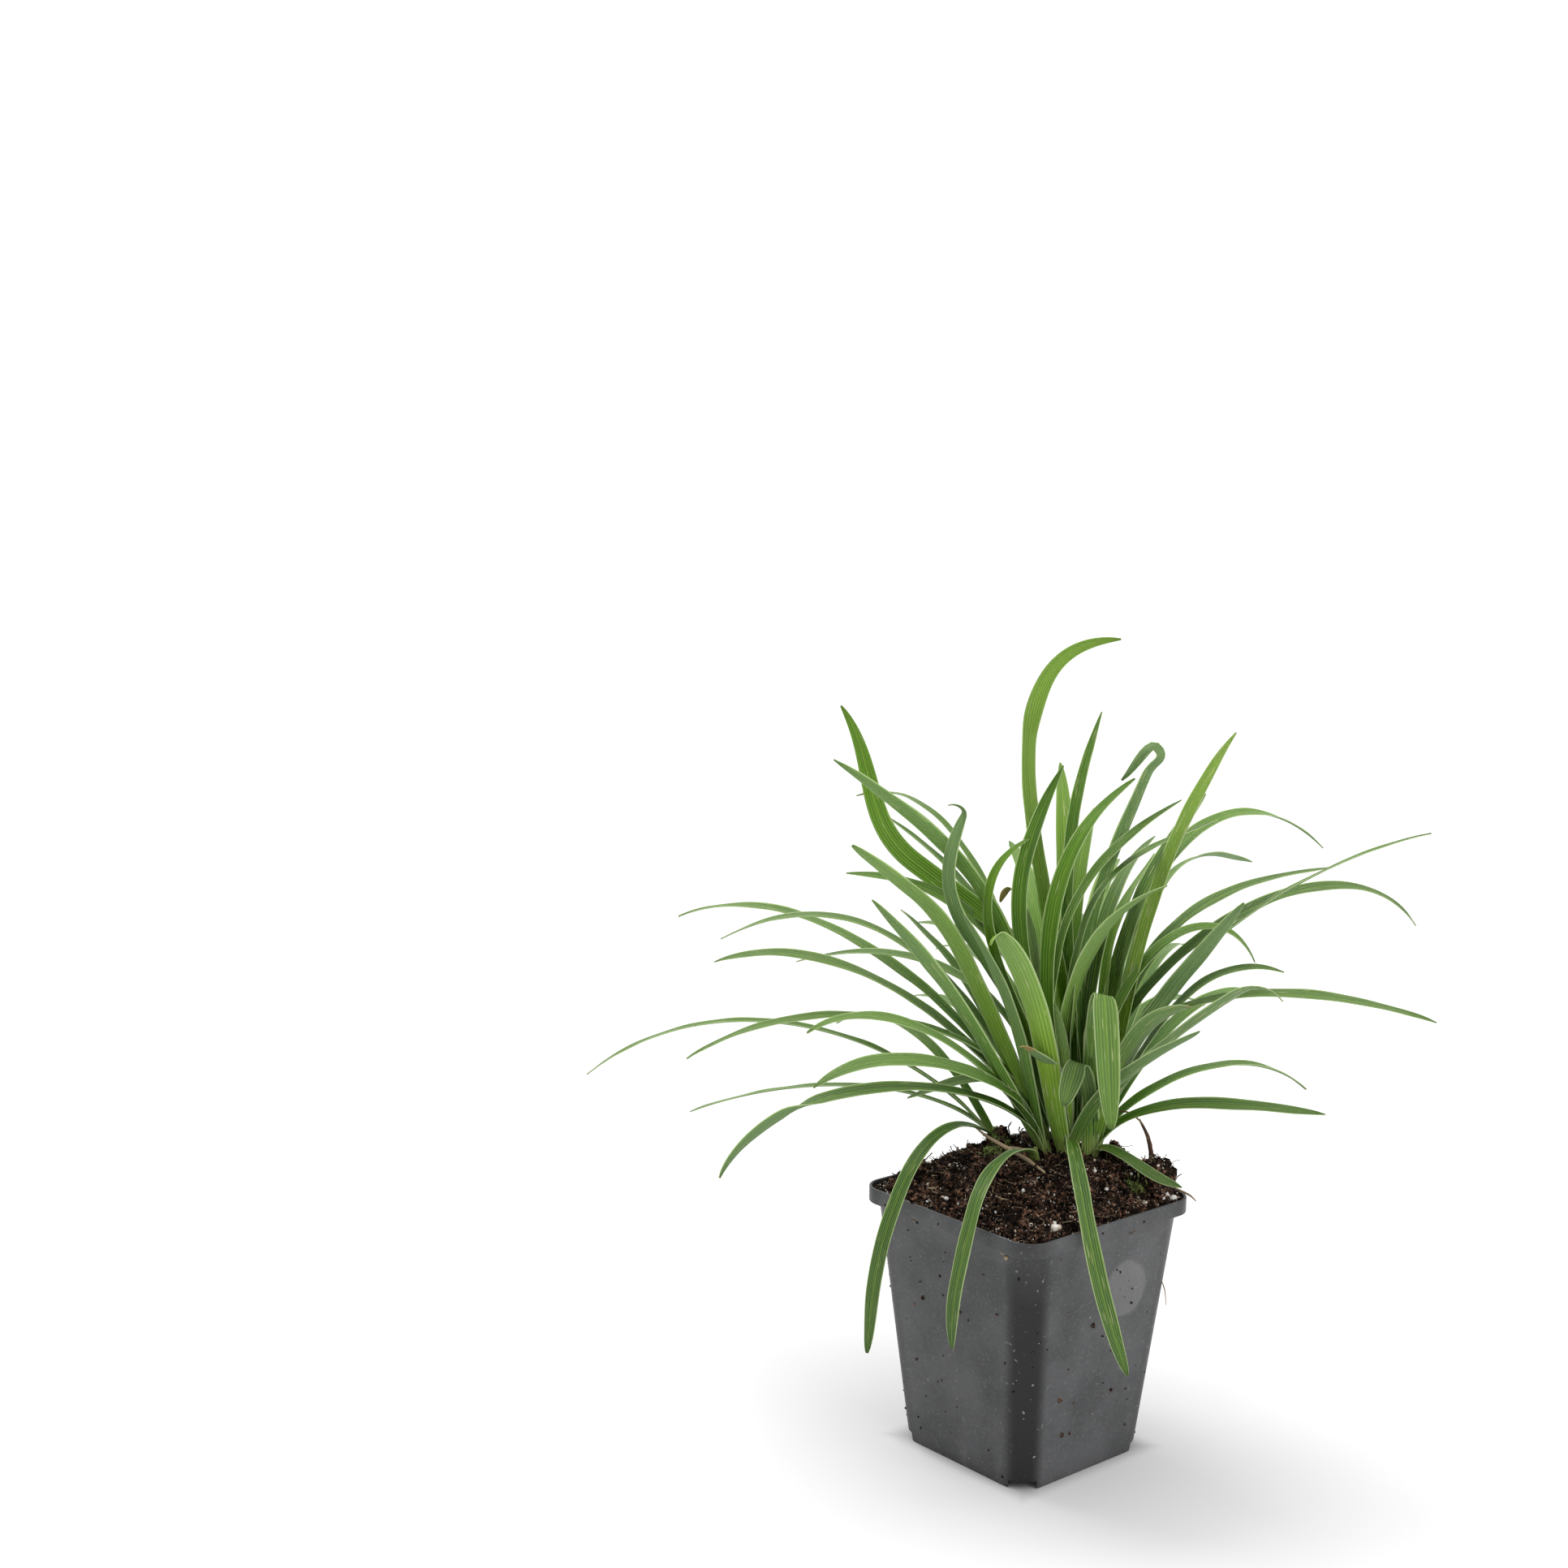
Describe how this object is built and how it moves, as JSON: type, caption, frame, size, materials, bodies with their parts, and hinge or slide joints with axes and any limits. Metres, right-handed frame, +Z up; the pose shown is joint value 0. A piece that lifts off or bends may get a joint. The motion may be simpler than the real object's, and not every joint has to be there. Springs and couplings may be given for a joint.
{
  "type": "potted liriope",
  "caption": "Young lily turf plant with long arching strap leaves, rooted in a mound of compost in a square plastic nursery pot.",
  "frame": {"origin": "middle of the pot's underside, on the surface that the pot stands on", "axes": "+Z straight up; X and Y along the sides of the square pot"},
  "size_m": [0.2816, 0.2531, 0.3087],
  "materials": {
    "pot_plastic": "thin injection-moulded recycled polypropylene, dark grey, faint satin sheen, dusted with compost",
    "compost": "damp dark brown peat compost with bark fibre, perlite and a little moss",
    "leaf": "satin green strap leaves with fine lengthwise veins, pale margins and grey-green undersides",
    "dry_stem": "withered fibrous tan stem, matt"
  },
  "bodies": {
    "root": {"pot": "pot_plastic", "soil": "compost", "shoot_front_left": "leaf", "shoot_left": "leaf", "shoot_front": "leaf", "shoot_middle": "leaf", "shoot_right": "leaf", "shoot_back_right": "leaf", "shoot_outer_left": "leaf", "shoot_back": "leaf", "shoot_young": "leaf", "dry_stalk": "dry_stem"}
  },
  "joints": []
}
